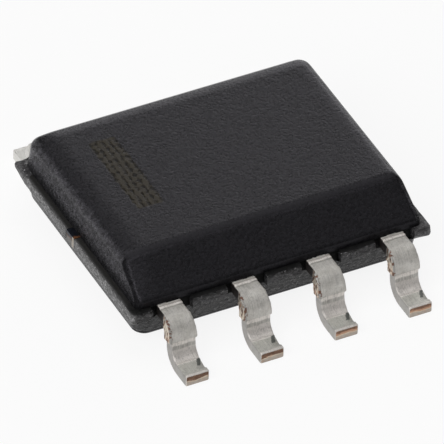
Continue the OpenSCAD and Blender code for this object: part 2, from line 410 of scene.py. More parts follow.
# Share of the flash's width, from the wall out, that gets the ledge finish, painted dark as painted shade
DARK_SHARE = 0.4


def broken_away(p):
    """How far the flash's lower edge is raised at a place."""
    raised = []
    for x, y, reach, depth in FLASH_CHIPS:
        raised.append(depth * bell(math.hypot(p[0] - x, p[1] - y), 0, reach))
    return max(raised)


def in_broken_corner(p):
    """Whether a place lies in the broken rear left corner."""
    return p[0] < -HALF_LENGTH + BROKEN_WIDE and p[1] > BROKEN_FROM


def in_scuffed_corner(p):
    """Whether a place lies in the scuffed front right corner."""
    return p[0] > HALF_LENGTH - SCUFFED_END and p[1] < -HALF_WIDTH + SCUFFED_FRONT


def flash_finish(centre, finish):
    """Finish of one face of the flash: the ledge finish with its painted shade in the gaps and near the
    wall, grey where a corner is broken or scuffed.
    """
    if in_broken_corner(centre) or in_scuffed_corner(centre):
        return FRACTURE
    inside_x = abs(centre[0]) < HALF_LENGTH + DARK_SHARE * FLASH_END
    inside_y = abs(centre[1]) < HALF_WIDTH + DARK_SHARE * FLASH_SIDE
    return LEDGE if inside_x and inside_y else finish


def wear_rim(p, height, edge):
    """Wears one point of the flash, by its row's height and nearness to the edge."""
    worn = 0.5 + 0.5 * rough(p, RIM_SCALE) + 0.25 * rough(p, RIM_FINE_SCALE, 3.0)
    p[:2] *= 1 - FLASH_ROUGHNESS * edge * max(worn, 0) / np.linalg.norm(p[:2])
    p[2] += RIM_LIFT * FLASH_ROUGHNESS * edge * rough(p, RIM_LIFT_SCALE, 7.0)
    p[2] += broken_away(p) * edge * (1 - height)
    if in_broken_corner(p):
        p[2] -= BROKEN_DROP * height * (1 + BROKEN_UNEVEN * rough(p, BREAK_SCALE, 2.0))


def flash_loop(height, reach):
    """One loop round the flash, drawn in at each lead and tie bar and worn elsewhere."""
    r = CORNER_R + (FLASH_CORNER_R - CORNER_R) * reach
    half_x = HALF_LENGTH + FLASH_END * reach
    half_y = HALF_WIDTH + FLASH_SIDE * reach
    loop = at_height(body_outline(half_x, half_y, half_y, r, r), LEAD_BOTTOM + height * LEAD_THICK)
    edge = max(reach - 0.5, 0) * 2
    for p in loop:
        on_long_side = abs(p[1]) > half_y - ON_SIDE
        on_short_side = abs(p[0]) > half_x - ON_SIDE
        if on_long_side and in_notch(p[0], lead_notches(p[1] < 0)):
            p[1] = math.copysign(HALF_WIDTH + NOTCH_LEFT * reach, p[1])
        elif on_short_side and in_notch(p[1], tie_notches()):
            p[0] = math.copysign(HALF_LENGTH - NOTCH_LEFT * reach, p[0])
        else:
            wear_rim(p, height, edge)
    return loop


def cap_loops(edge_loop, shares):
    """Loops between the middle of a flat face and the loop round its edge."""
    middle = edge_loop.mean(0)
    return [middle + (edge_loop - middle) * s for s in shares]


def row_finishes(count, wall, under, over):
    """Finish of each row of faces: lower walls from wall on, flash between its loops under and over."""
    rows = [MATTE] * count
    spans = [(under - 1, over, LEDGE), (under + 1, over - 2, FRACTURE), (wall, under - 1, FRACTURE)]
    for start, end, finish in spans:
        rows[start:end] = [finish] * (end - start)
    return rows


def make_body(materials):
    """The moulded body, one closed skin."""
    lower, upper = lower_loops(), upper_loops()
    flash = [flash_loop(height, reach) for height, reach in FLASH_ROWS]
    bottom_cap = cap_loops(lower[0], BOTTOM_SHARES)
    top_cap = [soften_top(loop) for loop in cap_loops(upper[-1], TOP_SHARES)]
    upper = [soften_top(loop) for loop in upper]
    loops = bottom_cap + lower + flash + upper + top_cap
    under = len(bottom_cap) + len(lower)
    over = under + len(flash)
    rows = row_finishes(len(loops) - 1, len(bottom_cap) + LOWER_EDGE_STEPS, under, over)
    faces, face_materials = loft(loops, rows)
    verts = np.vstack(loops + [bottom_cap[0].mean(0)[None], top_cap[-1].mean(0)[None]])
    count = len(loops[0])
    for k in range((under - 1) * count, over * count):
        face_materials[k] = flash_finish(verts[list(faces[k])].mean(0), face_materials[k])
    last = (len(loops) - 1) * count
    for j in range(count):
        k = (j + 1) % count
        faces += [(len(verts) - 2, k, j), (last + j, last + k, len(verts) - 1)]
        face_materials += [MATTE, MATTE]
    return add_mesh("molded_body_skin", verts, faces, face_materials, materials, BODY_SHARP)


# Leads: a rounded strip swept along its side view, from inside the body to the toe

HALF_THICK = LEAD_THICK / 2
NECK_Y = HALF_WIDTH - 0.12
BENDS_R = KNEE_R + LEAD_THICK + HEEL_R

# Points of the path on each part of a lead
NECK_STEPS = 33
KNEE_STEPS = 30
LEG_STEPS = 26
HEEL_STEPS = 26
FOOT_STEPS = 24
TOE_STEPS = 7

# Points of a section: in each corner, across the flat faces and up the sides
CORNER_POINTS = 5
FLAT_POINTS = 9
SIDE_POINTS = 4
UPPER_FROM = CORNER_POINTS + SIDE_POINTS
UPPER_TO = UPPER_FROM + 2 * CORNER_POINTS + FLAT_POINTS
CUT_SIDE = range(UPPER_TO - 2, UPPER_TO + SIDE_POINTS + 2)

# Material numbers of a lead, its sharpest smooth edge in degrees, the step of its seed
TIN, CUT, TOE = 0, 1, 2
LEAD_SHARP = 50
LEAD_SEED = 11.3


def leg_length():
    """Length of the straight leg between the bends."""
    drop = LEAD_BOTTOM - KNEE_R - LEAD_THICK - HEEL_R
    return (drop + BENDS_R * math.sin(LEG_TILT)) / math.cos(LEG_TILT)


def heel_reach():
    """How far the heel's centre lies outside the knee's."""
    return BENDS_R * math.cos(LEG_TILT) + leg_length() * math.sin(LEG_TILT)


def bend_rows(centre, r, angles, upward):
    """Rows of the path round a bend: upward is 1 where the upper face looks outward, else -1."""
    rows = []
    for a in angles:
        out = np.array([math.cos(a), math.sin(a)])
        rows.append((*(centre + r * out), *(upward * out)))
    return rows


def foot_places(heel_y):
    """Places along the foot, close-set at its rounded end."""
    ends = np.linspace(TOE_Y - LEAD_EDGE_R, TOE_Y, TOE_STEPS)
    return np.concatenate([np.linspace(heel_y, ends[0], FOOT_STEPS)[1:-1], ends])


def lead_path():
    """Middle line of the strip: rows of y, z, the upward normal's y and z, and the way past the wall."""
    knee = np.array([KNEE_Y, LEAD_BOTTOM - KNEE_R])
    heel = np.array([KNEE_Y + heel_reach(), LEAD_THICK + HEEL_R])
    neck = np.linspace(NECK_Y, KNEE_Y, NECK_STEPS)[:-1]
    rows = [(y, LEAD_PLANE - HALF_THICK, 0.0, 1.0) for y in neck]
    rows += bend_rows(knee, KNEE_R + HALF_THICK, np.linspace(math.pi / 2, LEG_TILT, KNEE_STEPS), 1)
    normal = np.array([math.cos(LEG_TILT), math.sin(LEG_TILT)])
    down = np.array([math.sin(LEG_TILT), -math.cos(LEG_TILT)])
    top = knee + (KNEE_R + HALF_THICK) * normal
    rows += [(*(top + t * down), *normal) for t in np.linspace(0, leg_length(), LEG_STEPS)[1:-1]]
    heel_angles = np.linspace(math.pi + LEG_TILT, 1.5 * math.pi, HEEL_STEPS)
    rows += bend_rows(heel, HEEL_R + HALF_THICK, heel_angles, -1)
    rows += [(y, HALF_THICK, 0.0, 1.0) for y in foot_places(heel[0])]
    rows = np.array(rows)
    steps = np.linalg.norm(np.diff(rows[:, :2], axis=0), axis=1)
    along = np.concatenate([[0], np.cumsum(steps)]) - (HALF_WIDTH - NECK_Y)
    return np.column_stack([rows, along])


# Places along the lead, as distances past the body's wall
LEAD_PATH = lead_path()
FOOT_LENGTH = TOE_Y - (KNEE_Y + heel_reach())
KNEE_END = KNEE_Y - HALF_WIDTH + (KNEE_R + HALF_THICK) * (math.pi / 2 - LEG_TILT)
TOE_END = LEAD_PATH[-1, 4]
HEEL_END = TOE_END - FOOT_LENGTH
STUB_END = KNEE_END + 0.10
CUT_START = 0.25
GROOVES = (0.052, 0.122)

# Width: where the stubs of the dam bar and the leg start and end, room for ragged edges, how ragged
STUB_RISE = (0.29, 0.315)
STUB_FALL = (STUB_END, STUB_END + 0.025)
STUB_GAIN = (0.35, STUB_END)
LEG_RISE = (STUB_END, STUB_END + 0.03)
LEG_FALL = (HEEL_END - 0.2, HEEL_END)
EDGE_ALLOWANCE = 0.006
EDGE_RAGGED = 0.004
EDGE_SCALE = 18

# Added width on each side: of the stub at its start, gained towards its end, and of the leg
WIDENING = {1: (0.030, 0.006, 0.004), -1: (0.016, 0.026, 0.012)}

# Burr below the stubs, and how far the toe's end is drawn in
BURR = 0.014
BURR_RISE = (0.29, 0.33)
TOE_DRAWN_IN = 0.6

# Steps of the upper face: height, where it starts and where it ends
RELIEF_STEPS = [
    (0.011, (0.015, 0.028), (0.10, 0.115)),
    (-0.006, (STUB_END - 0.02, STUB_END + 0.03), (STUB_END + 0.05, HEEL_END)),
]

# Lines across the upper face: height, middle and half width
RELIEF_LINES = [
    (-0.010, GROOVES[0], 0.010),
    (-0.009, GROOVES[1], 0.010),
    (0.007, HEEL_END - 0.012, 0.016),
    (0.004, TOE_END - 0.03, 0.018),
]
WAVE = 0.0022
RIPPLE = 0.0010

# Bruise beside the heel: where it starts and is widest, how soon it fades, its width and slope
FACET_START = HEEL_END - 0.03
FACET_END = HEEL_END + 0.19
FACET_FADE = 0.03
FACET_WIDTH = 0.12
FACET_SLOPE = 0.45


def half_width_at(s, side, seed):
    """Half the lead's width at distance s past the wall, on one side (1 or -1)."""
    start, gain, leg = WIDENING[side]
    widened = plateau(s, STUB_RISE, STUB_FALL)
    added = widened * (start + gain * smooth_step(*STUB_GAIN, s)) + leg * plateau(s, LEG_RISE, LEG_FALL)
    ragged = EDGE_RAGGED * rough((s, side * 3.0, seed), EDGE_SCALE, seed)
    return LEAD_HALF - EDGE_ALLOWANCE + added + ragged * (0.4 + 0.6 * widened)


def upper_relief(s, x, seed):
    """How far the upper face stands above or below the plain strip."""
    steps = sum(height * plateau(s, rise, fall) for height, rise, fall in RELIEF_STEPS)
    lines = sum(height * bell(s, middle, half) for height, middle, half in RELIEF_LINES)
    waves = WAVE * rough((x, 0.35 * s, 0), 9, seed)
    ripples = RIPPLE * rough((3 * x, 0.3 * s, 1), 20, seed + 5)
    return steps + lines + waves + ripples


def side_facet(s, x):
    """The forming tool's bruise beside the heel: a facet that widens towards the toe."""
    along = (s - FACET_START) / (FACET_END - FACET_START)
    if along <= 0:
        return 0.0
    width = FACET_WIDTH * min(along, 1.0)
    inside = np.clip((LEAD_HALF + x - width) / -FACET_WIDTH, 0, 1)
    return FACET_SLOPE * FACET_WIDTH * inside * (1 - smooth_step(FACET_END, FACET_END + FACET_FADE, s))


def section(left, right, up, down, r):
    """Rounded section of the strip, clockwise from its lower left as seen from the toe."""
    r = min(r, 0.45 * (up + down))
    low, high = -down + r, up - r
    centres = [(left + r, low, 180), (left + r, high, 90), (right - r, high, 0), (right - r, low, 270)]
    arcs = []
    for x, z, start in centres:
        turns = [math.radians(start + 90 - 90 * k / (CORNER_POINTS - 1)) for k in range(CORNER_POINTS)]
        arcs.append([(x + r * math.cos(a), z + r * math.sin(a)) for a in turns])
    ring = []
    for k, inner in enumerate([SIDE_POINTS, FLAT_POINTS, SIDE_POINTS, FLAT_POINTS]):
        ring += arcs[k]
        a, b = np.array(arcs[k][-1]), np.array(arcs[(k + 1) % 4][0])
        ring += [tuple(a + (b - a) * t) for t in np.linspace(0, 1, inner + 2)[1:-1]]
    return np.array(ring)


def lead_section(s, seed):
    """Section of a lead at distance s past the wall, with its burr, drawn in at the toe's end."""
    rounding = max(0.0, 1 - (TOE_END - s) / LEAD_EDGE_R)
    inset = TOE_DRAWN_IN * LEAD_EDGE_R * (1 - math.sqrt(max(0.0, 1 - rounding ** 2)))
    left = -half_width_at(s, -1, seed) + inset
    right = half_width_at(s, 1, seed) - inset
    down = HALF_THICK - TOE_DRAWN_IN * inset + BURR * plateau(s, BURR_RISE, STUB_FALL)
    return section(left, right, HALF_THICK - inset, down, LEAD_EDGE_R)


def make_lead(n, materials):
    """One formed lead: those of the front row are turned to -Y."""
    seed = LEAD_SEED * n
    turn = -1 if n <= ROW else 1
    loops, strip = [], []
    for y, z, ny, nz, s in LEAD_PATH:
        loop = []
        for k, (x, h) in enumerate(lead_section(s, seed)):
            if UPPER_FROM <= k < UPPER_TO:
                h += upper_relief(s, x, seed) - side_facet(s, -turn * x)
            loop.append((turn * (x + turn * lead_x(n)), turn * (y + ny * h), z + nz * h))
            strip.append((x, s))
        loops.append(np.array(loop))
    count = len(loops[0])
    faces, face_materials = loft(loops, [TIN] * (len(loops) - 1))
    for row, s in enumerate(LEAD_PATH[:-1, 4]):
        if CUT_START < s < STUB_END:
            for k in CUT_SIDE:
                face_materials[row * count + k] = CUT
    last = (len(loops) - 1) * count
    faces += [tuple(range(count))[::-1], tuple(range(last, last + count))]
    face_materials += [TIN, TOE]
    verts = np.vstack(loops)
    return add_mesh(f"lead_{n}_formed", verts, faces, face_materials, materials, LEAD_SHARP, strip)


# Materials


class Finish:
    """A node material on a Principled shader, with short calls that add nodes in millimetre space."""

    def __init__(self, name, **sockets):
        self.data = bpy.data.materials.new(name)
        self.data.use_nodes = True
        self.tree = self.data.node_tree
        self.shader = self.tree.nodes["Principled BSDF"]
        for socket, value in sockets.items():
            self.shader.inputs[socket.replace("_", " ")].default_value = value
        place = self.add("ShaderNodeTexCoord").outputs["Object"]
        scaled = self.add("ShaderNodeVectorMath", {0: place, "Scale": 1 / MM}, operation="SCALE")
        self.place = scaled.outputs[0]

    def add(self, kind, inputs=None, **settings):
        """A node whose inputs are linked or set to plain values."""
        node = self.tree.nodes.new(kind)
        for key, value in settings.items():
            setattr(node, key, value)
        for key, value in (inputs or {}).items():
            if isinstance(value, bpy.types.NodeSocket):
                self.tree.links.new(value, node.inputs[key])
            else:
                node.inputs[key].default_value = value
        return node

    def set(self, socket, value):
        """Feeds the shader."""
        self.tree.links.new(value, self.shader.inputs[socket])

    def axes(self):
        """Place along the part's axes, in millimetres."""
        return self.add("ShaderNodeSeparateXYZ", {0: self.place}).outputs

    def facing(self):
        """Parts of the surface's normal along the part's axes."""
        normal = self.add("ShaderNodeTexCoord").outputs["Normal"]
        return self.add("ShaderNodeSeparateXYZ", {0: normal}).outputs

    def strip(self):
        """Place on a lead in millimetres: across it and along it from the body's wall."""
        place = self.add("ShaderNodeUVMap", uv_map="strip").outputs["UV"]
        return self.add("ShaderNodeSeparateXYZ", {0: place}).outputs[:2]

    def combine(self, x, y):
        """A place for noise on a flat strip."""
        return self.add("ShaderNodeCombineXYZ", {0: x, 1: y}).outputs[0]

    def stretched(self, x, y, z):
        """The place scaled along each axis."""
        node = self.add("ShaderNodeVectorMath", {0: self.place, 1: (x, y, z)}, operation="MULTIPLY")
        return node.outputs[0]

    def noise(self, scale, detail=3.0, roughness=0.55, place=None):
        """Noise about one half, its scale in features per millimetre."""
        inputs = {"Vector": place or self.place, "Scale": scale, "Detail": detail, "Roughness": roughness}
        return self.add("ShaderNodeTexNoise", inputs).outputs["Fac"]

    def math(self, operation, a, b=0.0):
        """One step of arithmetic."""
        return self.add("ShaderNodeMath", {0: a, 1: b}, operation=operation).outputs[0]

    def plus(self, a, b):
        return self.math("ADD", a, b)

    def minus(self, a, b):
        return self.math("SUBTRACT", a, b)

    def times(self, first, *others):
        for value in others:
            first = self.math("MULTIPLY", first, value)
        return first

    def size(self, value):
        return self.math("ABSOLUTE", value)

    def rest(self, share):
        """What a share leaves of 1."""
        return self.minus(1.0, share)

    def sway(self, value, span):
        """A value about one half, moved to zero and scaled to a span."""
        return self.times(self.minus(value, 0.5), span)

    def ramp(self, value, low, high, to_low=0.0, to_high=1.0):
        """Goes smoothly from to_low at low to to_high at high."""
        inputs = {"Value": value, "From Min": low, "From Max": high, "To Min": to_low, "To Max": to_high}
        return self.add("ShaderNodeMapRange", inputs, interpolation_type="SMOOTHSTEP").outputs[0]

    def window(self, value, middle, half, soft):
        """1 within half of the middle, 0 outside it, with soft edges."""
        off = self.size(self.minus(value, middle))
        return self.ramp(off, half - soft, half + soft, 1.0, 0.0)

    def mix(self, share, first, second):
        """The second tone laid over the first by a share."""
        return self.add("ShaderNodeMix", {0: share, 6: first, 7: second}, data_type="RGBA").outputs[2]

    def bump(self, height, depth_mm, below=None):
        """A normal from a height, on top of the bump below it."""
        inputs = {"Height": height, "Strength": 1.0, "Distance": depth_mm * MM}
        if below is not None:
            inputs["Normal"] = below
        return self.add("ShaderNodeBump", inputs).outputs[0]


def grey(value, warm=0.0):
    """A grey tone, leaning to red by the warm share."""
    return (value * (1 + warm), value, value * (1 - warm), 1.0)


# Tones of the matte epoxy and of the pin-1 bar; the shade tone is painted shade at the foot of the walls
EPOXY_DARK = (0.0058, 0.0057, 0.0062, 1)
EPOXY_LIGHT = (0.0108, 0.0106, 0.0117, 1)
EPOXY_PATCH = (0.0113, 0.0111, 0.0121, 1)
EPOXY_PAINTED_SHADE = (0.0015, 0.0015, 0.0017, 1)
EPOXY_SHINE = (1.0, 0.96, 1.09, 1)
BAR_LIGHT = (0.0262, 0.0212, 0.0092, 1)
BAR_DARK = (0.0062, 0.0050, 0.0022, 1)

# Tones of the flash's flat faces: painted shade, and lighter at the body's two ends and on their rim as
# painted light
LEDGE_PAINTED_SHADE_DARK = grey(0.0015)
LEDGE_PAINTED_SHADE_LIGHT = grey(0.0045)
LEDGE_END_PAINTED_LIGHT = grey(0.019, 0.05)
LEDGE_RIM_PAINTED_LIGHT = grey(0.15)

# Tones of the flash's broken edge, each along the long sides and at the two ends; the lighter tones at the
# ends are painted light
BREAK_DARK = (grey(0.002), grey(0.016))
BREAK_LIGHT = ((0.0110, 0.0107, 0.0120, 1), (0.114, 0.112, 0.113, 1))
BREAK_SCRAPED = ((0.054, 0.0527, 0.057, 1), (0.285, 0.281, 0.285, 1))
BREAK_SPECK = ((0.26, 0.255, 0.26, 1), (0.45, 0.44, 0.45, 1))
BREAK_CORNER = (0.036, 0.034, 0.036, 1)
BREAK_RUBBED = (0.046, 0.045, 0.048, 1)


def end_walls(m):
    """1 on the body's two end walls, 0 on its other faces."""
    near_end = m.ramp(m.size(m.axes()[0]), HALF_LENGTH - 0.20, HALF_LENGTH - 0.06)
    return m.times(near_end, m.ramp(m.size(m.facing()[0]), 0.05, 0.35))


def matte_tone(m, grain, ends):
    """Tone of the matte epoxy: grained and patchy, with painted shade close above the flash, but not on
    the end walls.
    """
    colour = m.mix(m.ramp(grain, 0.3, 0.7), EPOXY_DARK, EPOXY_LIGHT)
    colour = m.mix(m.ramp(m.noise(1.6, 3), 0.35, 0.75, 0.0, 0.4), colour, EPOXY_PATCH)
    # Painted shade: the tone darkens close above the flash, where the flash shades the foot of the wall.
    low = m.ramp(m.axes()[2], LEAD_PLANE + 0.02, LEAD_PLANE + 0.15, 0.2, 0.0)
    return m.mix(m.times(low, m.rest(ends)), colour, EPOXY_PAINTED_SHADE)


def front_edge_gloss(m):
    """Gloss over the bevel's upper edge and the front corners, both duller than the faces."""
    front = m.times(m.facing()[1], -1.0)
    edge = m.times(m.ramp(front, 0.0, 0.28, 1.0, 0.42), m.ramp(front, 0.42, 0.56, 1.0, 2.5))
    corner = m.times(m.ramp(m.size(m.facing()[0]), 0.12, 0.45), m.ramp(front, 0.06, 0.32))
    return m.times(edge, m.rest(m.times(corner, 0.70)))


def matte_gloss(m, ends, wall_grain):
    """Gloss of the matte epoxy: less at the foot of the walls, more and grainy on the end walls."""
    z = m.axes()[2]
    foot = m.ramp(z, LEAD_PLANE + 0.08, LEAD_PLANE + 0.145, 0.30, 1.06)
    foot = m.math("MAXIMUM", foot, m.times(ends, 0.9))
    rise = m.ramp(z, LEAD_PLANE + 0.06, LEAD_PLANE + 0.24, -0.36, 0.95)
    rise = m.minus(rise, m.ramp(z, LEAD_PLANE + 0.25, LEAD_PLANE + 0.42, 0.0, 0.58))
    shine = m.times(foot, m.plus(1.0, m.times(ends, rise)), front_edge_gloss(m))
    sparkle = m.times(ends, m.ramp(wall_grain, 0.36, 0.64, -0.6, 0.8))
    shine = m.times(shine, m.plus(1.0, sparkle))
    return m.times(m.ramp(m.noise(26, 3, 0.6), 0.3, 0.7, 0.47, 0.63), shine)


def pin_1_bar(m):
    """Share of the pin-1 bar: ragged at its edges, worn in places."""
    x, y, z = m.axes()
    ragged = m.sway(m.noise(14, 3, 0.6), 0.09)
    across = m.window(m.plus(x, ragged), BAR_MIDDLE[0], BAR_HALF[0], 0.014)
    along = m.window(m.plus(y, ragged), BAR_MIDDLE[1], BAR_HALF[1], 0.014)
    on_top = m.ramp(z, BODY_TOP - 0.02, BODY_TOP - 0.01)
    worn = m.ramp(m.noise(9, 3), 0.25, 0.55, 0.75, 1.0)
    return m.times(across, along, on_top, worn)


def bar_hatching(m):
    """Hatching of the pin-1 bar: wavy lines along it, broken into dots and spots."""
    x, y = m.axes()[:2]
    across = m.plus(m.minus(x, BAR_MIDDLE[0]), m.sway(m.noise(7, 3), 0.07))
    lines = m.math("COSINE", m.times(across, 2 * math.pi / BAR_LINE_PITCH))
    along = m.plus(y, m.times(m.noise(4, 3), 0.30))
    dots = m.math("SINE", m.times(along, 2 * math.pi / BAR_DOT_PITCH))
    spots = m.ramp(m.noise(13, 4, 0.65), 0.40, 0.66, -0.9, 0.9)
    return m.ramp(m.plus(spots, m.plus(lines, m.times(dots, 0.6))), -0.5, 1.5)


def epoxy_matte():
    """Spark-eroded moulded epoxy, with the hatched pin-1 bar burnt into its top face."""
    m = Finish("epoxy_matte", IOR=1.39, Specular_Tint=EPOXY_SHINE)
    grain = m.noise(22, 4, 0.62)
    wall_grain = m.noise(15, 4, 0.7)
    ends = end_walls(m)
    bar = pin_1_bar(m)
    hatch = bar_hatching(m)
    burnt = m.mix(hatch, BAR_LIGHT, BAR_DARK)
    m.set("Base Color", m.mix(bar, matte_tone(m, grain, ends), burnt))
    m.set("Roughness", m.plus(m.ramp(grain, 0.25, 0.75, 0.24, 0.32), m.times(bar, 0.1)))
    dulled = m.times(bar, m.ramp(hatch, 0.0, 1.0, 0.22, 0.60))
    m.set("Specular IOR Level", m.times(matte_gloss(m, ends, wall_grain), m.rest(dulled)))
    coarse = m.bump(m.noise(9, 3), 0.002)
    rubbed = m.times(m.sway(wall_grain, 15.0), ends)
    fine = m.bump(m.plus(grain, rubbed), 0.0039, coarse)
    m.set("Normal", m.bump(m.times(hatch, bar), -0.012, fine))
    return m.data


def epoxy_ledge():
    """The smooth flat faces of the flash and the walls of its gaps, painted dark as painted shade, and
    painted lighter at the body's two ends as painted light.
    """
    m = Finish("epoxy_ledge", IOR=1.34)
    x = m.size(m.axes()[0])
    beside = m.ramp(m.axes()[1], -HALF_WIDTH + 0.01, -HALF_WIDTH + 0.31)
    grain = m.noise(26, 3)
    # Painted shade: the resin of the ledge and of the gaps' walls gets a far darker tone than the matte
    # epoxy.
    colour = m.mix(m.ramp(grain, 0.3, 0.75), LEDGE_PAINTED_SHADE_DARK, LEDGE_PAINTED_SHADE_LIGHT)
    # Painted light: the ledge is lighter at the body's two ends, less so towards the front, and palest on
    # the rim there.
    at_wall = m.times(m.ramp(x, HALF_LENGTH - 0.06, HALF_LENGTH - 0.01), beside)
    colour = m.mix(at_wall, colour, LEDGE_END_PAINTED_LIGHT)
    rim = m.times(m.ramp(x, HALF_LENGTH + 0.05, HALF_LENGTH + 0.13), m.ramp(grain, 0.3, 0.7, 0.5, 1.0))
    rim = m.times(rim, m.math("MAXIMUM", beside, 0.3))
    m.set("Base Color", m.mix(rim, colour, LEDGE_RIM_PAINTED_LIGHT))
    m.set("Roughness", m.ramp(m.noise(12, 2), 0.3, 0.7, 0.4, 0.55))
    m.set("Specular IOR Level", m.ramp(m.size(m.facing()[1]), 0.3, 0.8, 0.5, 0.08))
    m.set("Normal", m.bump(grain, 0.010))
    return m.data


def broken_corners(m, grain):
    """Share of the broken rear left and the scuffed front right corner of the flash."""
    x, y = m.axes()[:2]
    broken = m.ramp(y, BROKEN_FROM - 0.02, BROKEN_FROM)
    broken = m.times(broken, m.ramp(x, -HALF_LENGTH + 0.08, -HALF_LENGTH + 0.14, 1.0, 0.0))
    scuffed = m.ramp(y, -HALF_WIDTH + 0.16, -HALF_WIDTH + 0.26, 1.0, 0.0)
    scuffed = m.times(scuffed, m.ramp(x, HALF_LENGTH - 0.20, HALF_LENGTH - 0.16))
    return m.times(m.math("MAXIMUM", broken, scuffed), m.ramp(grain, 0.3, 0.7, 0.55, 0.95))


def epoxy_fracture():
    """The broken outer edge of the flash: grey, with pale scuffs; paler at the two ends as painted light.
    """
    m = Finish("epoxy_fracture", IOR=1.50)
    grain = m.noise(42, 4, 0.65)
    chips = m.noise(11, 4, 0.6, m.stretched(1, 1, 1.8))
    x, _, z = m.axes()
    # Painted light: the two end faces get lighter copies of each tone of the broken resin.
    ends = m.ramp(m.size(x), HALF_LENGTH + 0.01, HALF_LENGTH + 0.09)
    colour = m.mix(m.ramp(grain, 0.3, 0.72), m.mix(ends, *BREAK_DARK), m.mix(ends, *BREAK_LIGHT))
    colour = m.mix(m.ramp(chips, 0.54, 0.66, 0.0, 0.8), colour, m.mix(ends, *BREAK_SCRAPED))
    colour = m.mix(broken_corners(m, grain), colour, BREAK_CORNER)
    rubbed = m.times(m.window(z, LEAD_PLANE - 0.10, 0.035, 0.02), m.ramp(grain, 0.3, 0.7, 0.25, 0.75))
    colour = m.mix(m.times(rubbed, m.rest(ends)), colour, BREAK_RUBBED)
    specks = m.ramp(m.noise(24, 5, 0.7), 0.58, 0.66, 0.0, 0.8)
    m.set("Base Color", m.mix(specks, colour, m.mix(ends, *BREAK_SPECK)))
    m.set("Roughness", m.ramp(chips, 0.3, 0.7, 0.24, 0.38))
    shine = m.ramp(m.size(x), HALF_LENGTH + 0.01, HALF_LENGTH + 0.09, 0.40, 0.62)
    m.set("Specular IOR Level", m.times(shine, m.ramp(chips, 0.35, 0.65, 0.75, 1.25)))
    m.set("Normal", m.bump(chips, 0.030, m.bump(grain, 0.008)))
    return m.data


# Tones of the leads, among them painted highlights, painted light, painted shade and a painted reflection
TIN_LIGHT = (0.62, 0.60, 0.565, 1)
TIN_DULL = (0.51, 0.49, 0.455, 1)
TIN_DARK = (0.25, 0.24, 0.225, 1)
TIN_HIGHLIGHT_AND_SPECK = (0.85, 0.80, 0.755, 1)
TIN_REAR_PAINTED_LIGHT = (0.80, 0.79, 0.765, 1)
TIN_LEG_PAINTED_LIGHT = (0.70, 0.65, 0.62, 1)
TIN_FOOT_PAINTED_SHADE = (0.575, 0.57, 0.52, 1)
TIN_FLANK_PAINTED_SHADE = (0.31, 0.30, 0.285, 1)
TIN_HEEL_DARK_REFLECTION = (0.12, 0.125, 0.115, 1)
TIN_ON_COPPER = (0.70, 0.63, 0.53, 1)
TIN_ON_TOE = (0.42, 0.37, 0.32, 1)
TOE_LINE = (0.66, 0.54, 0.40, 1)
GROOVE_PAINTED_SHADE = (0.24, 0.19, 0.165, 1)
GAP_FLANK_DARK = (0.022, 0.018, 0.017, 1)

# Tones of bare copper
COPPER_CUT = (0.50, 0.30, 0.20, 1)
COPPER_WORN = (0.15, 0.075, 0.05, 1)
COPPER_BARE = (0.36, 0.15, 0.07, 1)
COPPER_ORANGE = (0.45, 0.20, 0.10, 1)
COPPER_STAIN = (0.030, 0.034, 0.046, 1)
COPPER_TAN = (0.40, 0.36, 0.31, 1)
COPPER_GREY = (0.17, 0.165, 0.16, 1)
COPPER_DARK = (0.155, 0.092, 0.065, 1)

# Bands across a lead, painted light and shade: highlights on its ridges and ends, shade in its grooves, a
# lighter leg and a darker foot; middle and half width along it, tone, share of the tone
PAINTED_LIGHT_BANDS = [
    (GROOVES[0], 0.008, GROOVE_PAINTED_SHADE, 0.7),
    (0.085, 0.024, TIN_HIGHLIGHT_AND_SPECK, 0.8),
    (GROOVES[1], 0.007, TIN_DARK, 0.8),
    (STUB_END + 0.035, 0.035, TIN_HIGHLIGHT_AND_SPECK, 0.8),
    ((STUB_END + HEEL_END) / 2 + 0.06, (HEEL_END - STUB_END) / 2 - 0.08, TIN_LEG_PAINTED_LIGHT, 0.6),
    (HEEL_END - 0.012, 0.010, TIN_HIGHLIGHT_AND_SPECK, 0.9),
    ((HEEL_END + TOE_END) / 2 - 0.02, FOOT_LENGTH / 2 - 0.03, TIN_FOOT_PAINTED_SHADE, 0.7),
    (TOE_END - 0.022, 0.022, TIN_HIGHLIGHT_AND_SPECK, 0.5),
]
BAND_SOFT = 0.010

# Comb marks: middle, half width, soft edge
COMB_BAND = (STUB_END + 0.10, 0.032, 0.018)


def tin_streaks(m, along, across_scale, along_scale, detail, roughness):
    """Fine lines that run along the lead."""
    place = m.combine(m.times(m.axes()[0], across_scale), m.times(along, along_scale))
    return m.noise(1.0, detail, roughness, place)


